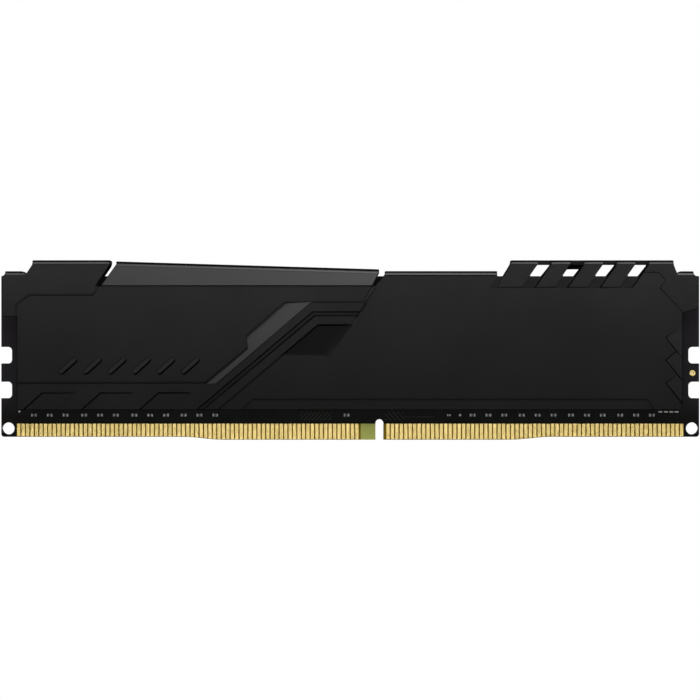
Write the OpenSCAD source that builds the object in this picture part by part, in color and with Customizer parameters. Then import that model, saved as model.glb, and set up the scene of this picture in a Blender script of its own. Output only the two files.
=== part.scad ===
// Desktop memory module: bare board, gold edge contacts, memory chips and a two-sheet heat spreader.
// Millimetres. X runs along the module, the front side faces -Y, Z is up from the lowest contact edge.
// The board's mid-plane is Y = 0. "t" below is the distance from that mid-plane, on either side.

/* [Board] */
// Length of the circuit board
board_length = 133.35; // [133.2:0.05:133.5]
// Height of the circuit board
board_height = 31.25; // [31:0.05:31.4]
// Thickness of the circuit board
board_t = 1.4; // [1.3:0.05:1.5]
// Radius of the tooling holes near the bottom corners
tooling_r = 1.15; // [1:0.05:1.25]
// Depth of the latch notches in both ends
latch_depth = 2.05; // [1.9:0.05:2.2]
// Height of each latch notch
latch_height = 3.15; // [3:0.05:3.3]
// Width of the key notch
key_width = 1.5; // [1.4:0.05:1.6]
// Height of the key notch above the contact edge
key_height = 3.9; // [3.6:0.1:4.1]

/* [Contacts] */
// Distance between neighbouring contacts
contact_pitch = 0.85; // [0.84:0.005:0.855]
// Width of one contact
contact_width = 0.6; // [0.5:0.05:0.7]
// Height of the contacts' upper ends
contact_top = 3.05; // [2.8:0.05:3.3]
// Thickness of the gold plated copper
contact_t = 0.05; // [0.03:0.01:0.08]

/* [Memory chips] */
// Width of a memory chip
chip_width = 7.5; // [7:0.5:8]
// Height of a memory chip
chip_height = 12; // [11:0.5:12.5]
// Thickness of a memory chip's body
chip_t = 0.85; // [0.75:0.05:0.9]
// Height of the solder joints under the chips
ball_height = 0.3; // [0.25:0.05:0.4]
// Centre height of the memory chips
chip_z = 18; // [17:0.5:18.5]

/* [Heat spreader] */
// Thickness of the sheet
sheet_t = 0.65; // [0.6:0.05:0.7]
// Distance from the board's mid-plane to the sheet's inner face
sheet_in = 2.35; // [2.3:0.05:2.5]
// Distance from the board's mid-plane to the most raised faces
face_max = 3.6; // [3.5:0.05:3.8]
// Height of the tallest edge
spreader_top = 34.2; // [33.9:0.1:34.3]
// Height of the lower edge
spreader_bottom = 5.7; // [5.5:0.1:5.9]
// Outer radius of the top bend
bend_r = 0.7; // [0.6:0.1:0.8]
// Gap between the two sheets' top flanges and the mid-plane
flange_gap = 0.05; // [0.02:0.01:0.1]
// Distance between the slanted slots
slot_pitch = 6.2; // [6:0.1:6.2]
// Width of a slanted slot
slot_width = 2.53; // [2.3:0.01:2.6]

/* [Hidden] */
$fn = 48;
half_l = board_length / 2;
half_b = board_t / 2;
step_up = 0.55;
tooling_x = half_l - 1.37;
tooling_z = 2.15;
latch_z = [9.5, 16.15];
key_x = -half_l + 72.25;
left_first = -half_l + 3.35;
right_first = -half_l + 73.9;
left_count = 77;
right_count = 67;
chip_bottom_t = half_b + ball_height;
chip_top_t = chip_bottom_t + chip_t;
pad_top_t = sheet_in;
face_low = sheet_in + sheet_t;
face_comb = face_low + 0.12;
band_c = face_low + 0.1;
band_b = face_low + 0.2;
band_a = face_low + 0.31;
face_main = face_low + 0.42;
face_wing = face_low + 0.54;
face_edge = face_low - 0.13;
face_deep = face_low - 0.1;
lean = 0.705;
chip_xs = [-57.4, -47.8, -38.2, -28.8, 26.4, 35.8, 45.2, 54.6];
ball_step = 0.8;

// ---- helpers ------------------------------------------------------------------------------------

// A shape drawn in (x, z) and given thickness from t0 to t1 on the front side
module front_layer(t0, t1) {
  translate([0, -t0, 0])
    rotate([90, 0, 0])
      linear_extrude(height = t1 - t0)
        children();
}

// A section drawn in (t, z) and run along the module from x0 to x1, front side
module along(x0, x1) {
  translate([x0, 0, 0])
    mirror([0, 1, 0])
      rotate([90, 0, 90])
        linear_extrude(height = x1 - x0)
          children();
}

module rear() {
  mirror([0, 1, 0]) children();
}

// Height of the board's contact edge: low in the middle, raised by smooth steps at both ends
function smooth(u) = u <= 0 ? 0 : (u >= 1 ? 1 : (1 - cos(180 * u)) / 2);
function edge_z(x) =
  x < 0 ? step_up * smooth((-24.3 - x) / 7.7) : step_up * smooth((x - 30.4) / 8.2);

// ---- board --------------------------------------------------------------------------------------

module board_outline() {
  left = [for (i = [0 : 12]) [-32 + 7.7 * i / 12, edge_z(-32 + 7.7 * i / 12)]];
  right = [for (i = [0 : 12]) [30.4 + 8.2 * i / 12, edge_z(30.4 + 8.2 * i / 12)]];
  corners = [
    [half_l - 0.5, step_up], [half_l - 0.15, step_up + 0.15], [half_l, step_up + 0.5],
    [half_l, board_height], [-half_l, board_height],
    [-half_l, step_up + 0.5], [-half_l + 0.15, step_up + 0.15], [-half_l + 0.5, step_up]
  ];
  polygon(concat(left, right, corners));
}

module latch_notch(z) {
  deep = half_l - latch_depth;
  half_h = latch_height / 2;
  translate([deep + 0.75, z - half_h]) square([latch_depth + 1, latch_height]);
  translate([deep, z - half_h + 0.75]) square([latch_depth + 1, latch_height - 1.5]);
  translate([deep + 0.75, z - half_h + 0.75]) circle(r = 0.75);
  translate([deep + 0.75, z + half_h - 0.75]) circle(r = 0.75);
}

module pcb() {
  color("#1c1a1e")
    difference() {
      front_layer(-half_b, half_b) board_outline();
      for (z = latch_z) {
        front_layer(-2, 2) latch_notch(z);
        front_layer(-2, 2) mirror([1, 0]) latch_notch(z);
      }
      for (s = [-1, 1]) {
        translate([s * tooling_x, 2, tooling_z]) rotate([90, 0, 0]) cylinder(r = tooling_r, h = 4);
      }
      front_layer(-2, 2)
        union() {
          translate([key_x - key_width / 2, -1]) square([key_width, key_height + 1 - key_width / 2]);
          translate([key_x, key_height - key_width / 2]) circle(r = key_width / 2);
        }
      translate([half_l - 1.28, 2, 12.75]) rotate([90, 0, 0]) cylinder(r = 0.15, h = 4);
    }
}

// ---- contacts -----------------------------------------------------------------------------------

module contact_row(first, count) {
  for (i = [0 : count - 1]) {
    x = first + contact_pitch * i;
    z0 = edge_z(x) + 0.1;
    translate([x - contact_width / 2, -half_b - contact_t, z0])
      cube([contact_width, contact_t, contact_top - z0]);
  }
}

module contacts_front_left() {
  color("#d7be78") contact_row(left_first, left_count);
}

module contacts_front_right() {
  color("#d7be78") contact_row(right_first, right_count);
}

module contacts_rear_left() {
  color("#d7be78") rear() contact_row(left_first, left_count);
}

module contacts_rear_right() {
  color("#d7be78") rear() contact_row(right_first, right_count);
}

module via_ring() {
  front_layer(half_b, half_b + contact_t)
    translate([half_l - 1.28, 12.75])
      difference() {
        circle(r = 0.55);
        circle(r = 0.15);
      }
}

module via_rings() {
  color("#cdb36c") {
    via_ring();
    rear() via_ring();
  }
}

// ---- heat spreader ------------------------------------------------------------------------------

// Outlines in (x, z) of the sheet and of each part of its upper edge
body_outline = [
  [-63.45, spreader_bottom], [63.3, spreader_bottom], [63.3, 24.2], [66.3, 25], [66.3, 30.8],
  [-66.3, 30.8], [-66.3, 23.5], [-63.45, 23.5]
];
tab_left_outline = [
  [-66.3, 30], [-61.3, 30], [-61.6, 31.75], [-62, 31.85], [-62.5, 32.2], [-65.7, 32.2],
  [-65.75, 31.7], [-65.95, 31.35], [-66.3, 31.2]
];
wing_outline = [
  [-62.4, 30], [-47.55, 30], [-44.9, 34.5], [-60.5, 34.5], [-60.45, 33.55], [-61.6, 31.75]
];
bar_outline = [[-47.6, 29.4], [4.4, 29.4], [5.7, 31.75], [5.8, 34.1], [-45, 34.1]];
middle_outline = [[4.65, 29.35], [6.6, 32.15], [6.6, 34], [28, 34], [28, 31.2], [26.9, 29]];
comb_outline = [
  [27.6, 29], [30.5, 34.5], [61.6, 34.5], [61.65, 33.5], [62.25, 31.9], [62.35, 31.7], [62.35, 29]
];
tab_right_outline = [
  [62.2, 29], [62.2, 31.7], [62.5, 31.85], [62.9, 32.2], [65.4, 32.2], [65.45, 31.75],
  [65.7, 31.35], [66.3, 31.2], [66.3, 29]
];

// Section of a bent upper edge: a wall that turns into a flange over the board
module bend_section(top, t_out, low) {
  difference() {
    union() {
      translate([flange_gap, top - sheet_t]) square([t_out - flange_gap, sheet_t]);
      translate([sheet_in, low]) square([t_out - sheet_in, top - low]);
    }
    difference() {
      translate([t_out - bend_r, top - bend_r]) square([bend_r + 1, bend_r + 1]);
      translate([t_out - bend_r, top - bend_r]) circle(r = bend_r);
    }
  }
}

module upper_edge(x0, x1, top, t_out, low, outline) {
  intersection() {
    along(x0, x1) bend_section(top, t_out, low);
    front_layer(-1, 6) polygon(outline);
  }
}

// The slanted bar: its face leans back from the lower edge to a flange that falls toward the right
module bar_section() {
  polygon([
    [flange_gap, 32.3], [1.6, 32.3], [sheet_in + 0.1, 31.5], [sheet_in + 0.1, 28],
    [face_max, 28], [face_max, 29.6], [2.75, 32.75], [2.3, 33.1], [flange_gap, 33.1]
  ]);
}

module bar() {
  intersection() {
    translate([-19.5, 0, 32.4])
      rotate([0, 1.72, 0])
        translate([19.5, 0, -32.22])
          along(-50, 8) bar_section();
    front_layer(-1, 6) polygon(bar_outline);
  }
}

// A raised flat field of the sheet
module field(points, t) {
  front_layer(face_low - 0.3, t) polygon(points);
}

// A pressed-in field, cut down to a distance t from the mid-plane
module pressed(points, t) {
  front_layer(t, 6) polygon(points);
}

// A three-sided facet that tips up toward the viewer at its lower edge
module chevron(z) {
  translate([0, 0, z])
    intersection() {
      front_layer(face_low - 0.3, 6) polygon([[59.9, 0], [62, 1.55], [63.3, 0.5], [63.3, -4.2]]);
      translate([59.9, -face_low - 0.1, 0]) rotate([20, 0, 38]) translate([-5, 0, -8]) cube([12, 2, 12]);
    }
}

// A pressed field tilted so that its upper left side lies deepest
module tilted(points) {
  intersection() {
    front_layer(face_low - 0.4, 6) polygon(points);
    translate([-7.5, -face_main, 26.1])
      rotate([-9.65, -40.45, 0])
        translate([-30, -5, -2])
          cube([36, 5, 9]);
  }
}

module capsule(x) {
  translate([x, 14.1])
    rotate(42) {
      translate([-1.65, -0.65]) square([3.3, 1.3]);
      translate([-1.65, 0]) circle(r = 0.65);
      translate([1.65, 0]) circle(r = 0.65);
    }
}

// Upper boundary shared by the stepped fields on the left, from right to left
upper_left = [
  [2.9, 26.1], [2.4, 26.4], [4.2, 29.3], [-48, 29.3], [-49, 27.4], [-61.2, 27.4], [-63.45, 25.6]
];
facet = [[-12.3, 26.3], [-7.3, 26.3], [-25.5, 10.7], [-27.6, 10.7], [-19.5, 17.5], [-19.85, 19.75]];

// The left half steps down toward the lower right in four bands, each inside the one before
module sheet_fields() {
  low = spreader_bottom;
  field(concat(
    [[-63.45, low], [-25.1, low], [-6.2, 22.05], [0.2, 22.05], [1, 23.35], [1.75, 24.5]], upper_left
  ), band_c);
  field(concat([[-63.45, low], [-28.2, low], [-6.85, 23.8], [1.3, 23.8], [1.75, 24.5]], upper_left), band_b);
  field(concat([[-63.45, low], [-29.4, low], [-7.2, 24.5], [1.75, 24.5]], upper_left), band_a);
  field(concat([[-63.45, 11.4], [-25.6, 11.4], [-19, 17], [-9.8, 26.4]], [
    [2.4, 26.4], [4.2, 29.3], [-48, 29.3], [-49, 27.4], [-61.2, 27.4], [-63.45, 25.6]
  ]), face_main);
  field(facet, face_main);
  // wing
  field([
    [-66.3, 23.5], [-63.45, 23.5], [-63.45, 25.6], [-61.2, 27.4], [-49, 27.4],
    [-47.9, 29.4], [-47.6, 30], [-62.4, 30], [-62.4, 30.8], [-66.3, 30.8]
  ], face_wing);
  // comb and right wing, one small step above the right field
  field([
    [27.5, 28.95], [53.7, 28.95], [54.5, 30.05], [59.3, 30.05], [58.65, 29.05], [63.3, 24.2], [66.3, 25],
    [66.3, 30.8], [28.2, 30.8]
  ], face_comb);
  front_layer(sheet_in, face_low) polygon([[4.65, 29.35], [5.9, 31.3], [28, 31.3], [28, 30], [26.9, 29]]);
  for (i = [0 : 5]) {
    front_layer(face_low, face_main + 0.1) capsule(-53.7 + 4.65 * i);
  }
  for (z = [19.5, 15.25, 11]) {
    chevron(z);
  }
}

module sheet_cuts() {
  // slots in the comb: open above, shallow at their lower ends
  for (i = [0 : 3]) {
    x = 34.1 + slot_pitch * i;
    front_layer(2.25, 6)
      polygon([
        [x, 31.15], [x + slot_width, 31.15], [x + slot_width + 3.35 * lean, 34.5], [x + 3.35 * lean, 34.5]
      ]);
    front_layer(face_low, 6)
      polygon([
        [x - 2.2 * lean, 28.9], [x + slot_width - 2.2 * lean, 28.9],
        [x + slot_width + 0.1, 31.3], [x + 0.1, 31.3]
      ]);
  }
  front_layer(face_low, 6) polygon([[26.5, 28.9], [28.15, 28.9], [29.15, 31.3], [28, 31.3]]);
  front_layer(face_low, 6)
    polygon([[53.6, 28.9], [55.8, 31.85], [58.6, 31.85], [59.75, 30.65], [58.65, 29.05], [58.8, 28.9]]);
  // slit between the wing and the bar
  front_layer(-1, 6)
    polygon([
      [-48.45, 29.35], [-47.5, 29.35], [-44.6, 33.5], [-44.6, 34.5],
      [-45.75, 34.5], [-45.75, 33.6], [-45.95, 33.05]
    ]);
  // gap between the bar and the middle tab
  front_layer(-1, 6)
    polygon([[4.2, 29.35], [4.65, 29.35], [6.6, 31.6], [6.6, 34.5], [5.5, 34.5], [5.45, 31.75]]);
  // gap between the middle tab and the comb
  front_layer(-1, 6)
    polygon([[28, 31.15], [29.1, 31.15], [30.65, 33.6], [30.65, 34.5], [28, 34.5]]);
  tilted(facet);
  // deep field
  pressed([[-6.3, 21.85], [0.1, 21.85], [-4, 15.9], [-12.7, 15.9]], face_deep);
  // band along the lower edge at the right
  pressed([[-21.6, 5], [58.6, 5], [56.7, 7.95], [-18.65, 7.95]], face_edge);
  // three slanted pockets at the lower left
  for (i = [0 : 2]) {
    x = 11.05 * i;
    pressed([[-58.7 + x, 9.1], [-52.1 + x, 9.1], [-56.5 + x, 5.4], [-62.8 + x, 5.4]], face_low + 0.2);
  }
}

module heat_spreader() {
  difference() {
    union() {
      front_layer(sheet_in, face_low) polygon(body_outline);
      upper_edge(-66.5, -61, 32.1, face_wing, 29, tab_left_outline);
      upper_edge(-63, -44, spreader_top, face_wing, 29, wing_outline);
      bar();
      upper_edge(4, 28.5, 32.1, face_low + 0.1, 31.25, middle_outline);
      upper_edge(27, 63, spreader_top, face_comb, 28.95, comb_outline);
      upper_edge(62, 66.5, 32.1, face_comb, 28.9, tab_right_outline);
      sheet_fields();
    }
    sheet_cuts();
  }
}

module heat_spreader_front() {
  color("#2b2b2c") heat_spreader();
}

// Locking tab of the rear sheet, bent down from its flange behind the second slot
module lock_tab() {
  translate([40.4, 0.75, 32.6]) cube([3.6, 0.8, 1.2]);
  translate([40.4, 1.15, 32.6]) rotate([0, 90, 0]) cylinder(r = 0.4, h = 3.6);
}

module heat_spreader_rear() {
  color("#2b2b2c") {
    rear() heat_spreader();
    lock_tab();
  }
}

// ---- thermal pads -------------------------------------------------------------------------------

module pad(x0, x1) {
  translate([x0, -pad_top_t, chip_z - 6.5]) cube([x1 - x0, pad_top_t - chip_top_t, 13]);
}

module thermal_pad_front_left() {
  color("#8a8c90") pad(-61.8, -24.4);
}

module thermal_pad_front_right() {
  color("#8a8c90") pad(22, 59);
}

module thermal_pad_rear_left() {
  color("#8a8c90") rear() pad(-61.8, -24.4);
}

module thermal_pad_rear_right() {
  color("#8a8c90") rear() pad(22, 59);
}

// ---- memory chips -------------------------------------------------------------------------------

module chip(i) {
  translate([chip_xs[i] - chip_width / 2, -chip_top_t, chip_z - chip_height / 2])
    cube([chip_width, chip_t, chip_height]);
}

module dram_chip_01() {
  color("#202022") chip(0);
}

module dram_chip_02() {
  color("#202022") chip(1);
}

module dram_chip_03() {
  color("#202022") chip(2);
}

module dram_chip_04() {
  color("#202022") chip(3);
}

module dram_chip_05() {
  color("#202022") chip(4);
}

module dram_chip_06() {
  color("#202022") chip(5);
}

module dram_chip_07() {
  color("#202022") chip(6);
}

module dram_chip_08() {
  color("#202022") chip(7);
}

module dram_chip_09() {
  color("#202022") rear() chip(0);
}

module dram_chip_10() {
  color("#202022") rear() chip(1);
}

module dram_chip_11() {
  color("#202022") rear() chip(2);
}

module dram_chip_12() {
  color("#202022") rear() chip(3);
}

module dram_chip_13() {
  color("#202022") rear() chip(4);
}

module dram_chip_14() {
  color("#202022") rear() chip(5);
}

module dram_chip_15() {
  color("#202022") rear() chip(6);
}

module dram_chip_16() {
  color("#202022") rear() chip(7);
}

// Solder joints, drawn as two narrow rows of short posts under each chip
module joints() {
  for (x = chip_xs) {
    for (side = [-1, 1]) {
      for (k = [-6 : 6]) {
        translate([x + side * 2.4 - 0.85, -half_b - ball_height, chip_z + k * ball_step - 0.22])
          cube([1.7, ball_height, 0.45]);
      }
    }
  }
}

module solder_joints_front() {
  color("#b9bcc0") joints();
}

module solder_joints_rear() {
  color("#b9bcc0") rear() joints();
}

// ---- small parts --------------------------------------------------------------------------------

module spd_eeprom() {
  color("#202022") translate([-2.5, -half_b - 0.75, 12]) cube([3, 0.7, 2]);
}

module spd_eeprom_leads() {
  color("#b9bcc0")
    for (i = [0 : 3]) {
      for (s = [-1, 1]) {
        translate([-2.1 + i * 0.65, -half_b - 0.05, 13 + s * 0.9 - 0.15]) cube([0.3, 0.05, 0.3]);
      }
    }
}

// Positions along the open strip above the contacts
function lane(i) = chip_xs[i];
strip_xs = concat(
  [for (i = [0 : 7]) for (k = [-1 : 1]) lane(i) + k * 3.03],
  [-0.7]
);
strip_z = 4.7;

// Positions of the decoupling capacitors, above and below the chips
cap_xs = [for (i = [0 : 7]) for (k = [-1 : 1]) lane(i) + k * 2.4];
cap_zs = [9.6, 26.6];

module two_terminal_body(x, z, length, high, deep, cap) {
  translate([x - length / 2 + cap, -half_b - deep, z - high / 2])
    cube([length - 2 * cap, deep, high]);
}

module two_terminal_ends(x, z, length, high, deep, cap) {
  for (s = [0, 1]) {
    translate([x - length / 2 + s * (length - cap), -half_b - deep, z - high / 2])
      cube([cap, deep, high]);
  }
}

module resistor_bodies() {
  for (x = strip_xs) {
    two_terminal_body(x, strip_z, 1.05, 0.5, 0.35, 0.28);
  }
  two_terminal_body(18.85, strip_z, 0.65, 0.35, 0.3, 0.18);
}

module resistor_terminals() {
  for (x = strip_xs) {
    two_terminal_ends(x, strip_z, 1.05, 0.5, 0.35, 0.28);
  }
  two_terminal_ends(18.85, strip_z, 0.65, 0.35, 0.3, 0.18);
}

module capacitor_bodies() {
  for (x = cap_xs) {
    for (z = cap_zs) {
      two_terminal_body(x, z, 1, 0.5, 0.5, 0.25);
    }
  }
}

module capacitor_terminals() {
  for (x = cap_xs) {
    for (z = cap_zs) {
      two_terminal_ends(x, z, 1, 0.5, 0.5, 0.25);
    }
  }
}

module resistor_bodies_front() {
  color("#19191b") resistor_bodies();
}

module resistor_terminals_front() {
  color("#b9bcc0") resistor_terminals();
}

module resistor_bodies_rear() {
  color("#19191b") rear() resistor_bodies();
}

module resistor_terminals_rear() {
  color("#b9bcc0") rear() resistor_terminals();
}

module capacitor_bodies_front() {
  color("#8b6b4a") capacitor_bodies();
}

module capacitor_terminals_front() {
  color("#b9bcc0") capacitor_terminals();
}

module capacitor_bodies_rear() {
  color("#8b6b4a") rear() capacitor_bodies();
}

module capacitor_terminals_rear() {
  color("#b9bcc0") rear() capacitor_terminals();
}

// ---- nodes --------------------------------------------------------------------------------------

pcb();
contacts_front_left();
contacts_front_right();
contacts_rear_left();
contacts_rear_right();
heat_spreader_front();
heat_spreader_rear();
thermal_pad_front_left();
thermal_pad_front_right();
thermal_pad_rear_left();
thermal_pad_rear_right();
dram_chip_01();
dram_chip_02();
dram_chip_03();
dram_chip_04();
dram_chip_05();
dram_chip_06();
dram_chip_07();
dram_chip_08();
dram_chip_09();
dram_chip_10();
dram_chip_11();
dram_chip_12();
dram_chip_13();
dram_chip_14();
dram_chip_15();
dram_chip_16();
solder_joints_front();
solder_joints_rear();
spd_eeprom();
spd_eeprom_leads();
resistor_bodies_front();
resistor_terminals_front();
resistor_bodies_rear();
resistor_terminals_rear();
capacitor_bodies_front();
capacitor_terminals_front();
capacitor_bodies_rear();
capacitor_terminals_rear();
via_rings();
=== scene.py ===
import math

import bmesh
import bpy
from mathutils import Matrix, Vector, geometry


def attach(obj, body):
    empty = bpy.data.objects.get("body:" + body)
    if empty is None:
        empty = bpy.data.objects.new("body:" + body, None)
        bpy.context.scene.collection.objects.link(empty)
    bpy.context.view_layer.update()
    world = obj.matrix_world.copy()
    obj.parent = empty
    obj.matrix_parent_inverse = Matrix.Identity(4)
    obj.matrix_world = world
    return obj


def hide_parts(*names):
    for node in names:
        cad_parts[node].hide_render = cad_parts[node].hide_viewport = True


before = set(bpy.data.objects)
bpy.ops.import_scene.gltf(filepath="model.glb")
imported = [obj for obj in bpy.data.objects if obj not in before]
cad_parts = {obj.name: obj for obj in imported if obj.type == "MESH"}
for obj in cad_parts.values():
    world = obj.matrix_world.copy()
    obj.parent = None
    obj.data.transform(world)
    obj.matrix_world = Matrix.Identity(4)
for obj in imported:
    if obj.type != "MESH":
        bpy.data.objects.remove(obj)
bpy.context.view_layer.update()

MM = 0.001

# ---- heat spreader ---------------------------------------------------------------------------------
#
# Each spreader is one sheet, laid out as a flat blank in millimetres. x runs along the module, and s is
# the height on the face that runs on round the top bend. Levels are distances of the outer face from
# the board's mid-plane.

MAIN = 3.42
WING = 3.54
BAND_A = 3.31
BAND_B = 3.2
BAND_C = 3.1
RIGHT = 3.0
COMB = 3.12
LOWER = 2.87
DEEP = 2.9
LIP = RIGHT + 0.1
BAR_LOW = 3.6
BAR_HIGH = 2.75

SHEET = 0.64
FLANGE_EXTRA = 0.16     # how much thicker the sheet gets round the bend
BEND_R = 0.7
FLANGE_END = 0.05       # where the flanges of the two sheets stop short of each other
EDGE_IN = 0.14          # width of the rolled rim along every cut edge
EDGE_DROP = 0.09
RIM_RINGS = (0.3, 1)
ARC_STEPS = 9

FOLD_Z = 29.33          # lower edge of the slanted bar
FOLD_END = 29.47        # where the bar's lower ramp ends
BAR_LEAN = math.radians(15)
BAR_X = -44.6           # left end of the bar
BAR_RIGHT_X = 5.52
BAR_FALL = 0.0301       # how much lower the bar's upper edge gets per millimetre to the right

SLOT_X = [34.71, 40.94, 47.15, 53.30]
SLOT_W = 2.53
SLOT_LEAN = 0.705

THIN = 0.02             # ramp width of a plain cut between two levels
RAMP = [0.25, 0.5, 0.75, 1]
PAINTED_SHADING_REACH = 5     # how fast the painted shade or highlight of a side sets in across its ramp
LINE_DEPTH = 0.012
LINE_RAMP = 0.4

# painted shade: a dark inner skin, and a dark rim along every cut edge
INNER_PAINTED_SHADE = 0.25
RIM_PAINTED_SHADE = 0.25
RIM_PAINTED_SHADE_GAIN = 0.6
DARK_PAINTED_SHADE = 0.12        # faces with painted shade darker than this get the low-specular copy of the paint, as painted shade
EVEN_PAINTED_SHADING = 0.004
MERGE_ANGLE = math.radians(0.05)
SHARP_ANGLE = math.radians(13)


def bar_top(x):
    return 34.04 - BAR_FALL * (x - BAR_X)


def bar_s0(x):
    """Where the bar's bend starts."""
    return bar_top(x) - BEND_R * (1 - math.sin(BAR_LEAN))


def slot_x(i, z):
    """Left side of slot i at height z."""
    return SLOT_X[i] + SLOT_LEAN * (z - 32)


TAB_S0 = 32.15 - BEND_R
HIGH_S0 = 34.24 - BEND_R
MID_S0 = 32.18 - BEND_R
ARC = BEND_R * math.pi / 2
BAR_ARC = BEND_R * (math.pi / 2 - BAR_LEAN)


def flange_end(s0, level):
    """End of the flange that follows a square bend at s0."""
    return s0 + ARC + level - BEND_R - FLANGE_END


TAB_L_END = flange_end(TAB_S0, WING)
WING_END = flange_end(HIGH_S0, WING)
MID_END = flange_end(MID_S0, LIP)
COMB_END = flange_end(HIGH_S0, COMB)
TAB_R_END = flange_end(TAB_S0, COMB)
BAR_MORE = BAR_ARC + BAR_HIGH - BEND_R * math.cos(BAR_LEAN) - FLANGE_END

OUTLINE = [
    # lower edge, right side and right tab
    (-63.47, 5.71), (63.31, 5.71), (63.31, 24.19), (66.3, 25.05), (66.3, 31.2),
    (65.9, 31.26), (65.6, 31.42), (65.45, 31.7), (65.4, 32.1), (65.4, TAB_R_END), (62.9, TAB_R_END),
    (62.9, 32.4), (62.8, 32.1), (62.55, 31.9), (62.25, 31.92), (62.05, 32.3), (61.66, 33.3), (61.6, 33.8),
    # comb
    (61.6, COMB_END), (30.66, COMB_END), (30.66, 33.8), (30.45, 33.32), (29.2, 31.25), (29.0, 31.12),
    (28.15, 31.12), (28.0, 31.3),
    # middle flange and the slit beside it
    (28.0, MID_END), (6.61, MID_END), (6.61, 31.75), (6.45, 31.35), (4.66, FOLD_Z), (4.2, FOLD_Z),
    # bar and the gap beside it
    (5.42, 31.75), (BAR_RIGHT_X, bar_s0(BAR_RIGHT_X)), (BAR_RIGHT_X, bar_s0(BAR_RIGHT_X) + BAR_MORE),
    (BAR_X, bar_s0(BAR_X) + BAR_MORE), (BAR_X, 33.5), (-47.5, FOLD_Z), (-48.45, FOLD_Z),
    # wing
    (-45.95, 33.05), (-45.75, 33.6), (-45.75, WING_END), (-60.5, WING_END), (-60.5, 33.75), (-60.55, 33.4),
    (-61.55, 31.85), (-61.75, 31.72), (-62.0, 31.85), (-62.3, 32.15), (-62.45, 32.5),
    # left tab
    (-62.45, TAB_L_END), (-65.7, TAB_L_END), (-65.7, 32.0), (-65.76, 31.62), (-65.95, 31.36),
    (-66.3, 31.2), (-66.3, 23.5), (-63.47, 23.5),
]


def slot_hole(i):
    low, top = 31.2, HIGH_S0 + ARC + 0.12
    corner, high = low + 0.22, 33.6
    return [
        (slot_x(i, low) + 0.15, low), (slot_x(i, low) + SLOT_W - 0.25, low),
        (slot_x(i, low) + SLOT_W, corner), (slot_x(i, 33.3) + SLOT_W, 33.3),
        (slot_x(i, 33.5) + SLOT_W, high), (slot_x(i, 33.5) + SLOT_W, top),
        (slot_x(i, 33.5) + 0.05, top), (slot_x(i, 33.5) + 0.05, high),
        (slot_x(i, 33.3), 33.3), (slot_x(i, low + 0.2), corner),
    ]


HOLES = [slot_hole(i) for i in range(len(SLOT_X))]
LOOPS = [OUTLINE] + HOLES


def sides(points):
    """The sides of a closed loop, as pairs of points."""
    return list(zip(points, points[1:] + points[:1]))


def area2(points):
    return sum(a[0] * b[1] - b[0] * a[1] for a, b in sides(points))


def inside(p, points):
    x, y = p
    hit = False
    for (x0, y0), (x1, y1) in sides(points):
        if (y0 > y) != (y1 > y) and x < (x1 - x0) * (y - y0) / (y1 - y0) + x0:
            hit = not hit
    return hit


def inset(points, widths):
    """Corners of a counter-clockwise loop after each side has moved inward by its own width."""
    lines = []
    for ((x0, y0), (x1, y1)), w in zip(sides(points), widths):
        length = math.hypot(x1 - x0, y1 - y0)
        nx, ny = -(y1 - y0) / length, (x1 - x0) / length
        lines.append((nx, ny, nx * x0 + ny * y0 + w))
    out = []
    for i, p in enumerate(points):
        a, b, c = lines[i - 1]
        d, e, f = lines[i]
        det = a * e - b * d
        if abs(det) < 0.02:
            out.append((p[0] + d * widths[i], p[1] + e * widths[i]))
        else:
            out.append(((c * e - b * f) / det, (a * f - c * d) / det))
    return out


def edge_distance(p, a, b):
    dx, dy = b[0] - a[0], b[1] - a[1]
    k = max(0, min(1, ((p[0] - a[0]) * dx + (p[1] - a[1]) * dy) / (dx * dx + dy * dy)))
    return math.hypot(p[0] - a[0] - k * dx, p[1] - a[1] - k * dy)


def rim_distance(p):
    """Distance from the nearest cut edge of the blank."""
    return min(edge_distance(p, a, b) for loop in LOOPS for a, b in sides(loop))


def smooth(u):
    return 0 if u <= 0 else 1 if u >= 1 else u * u * (3 - 2 * u)


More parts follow.
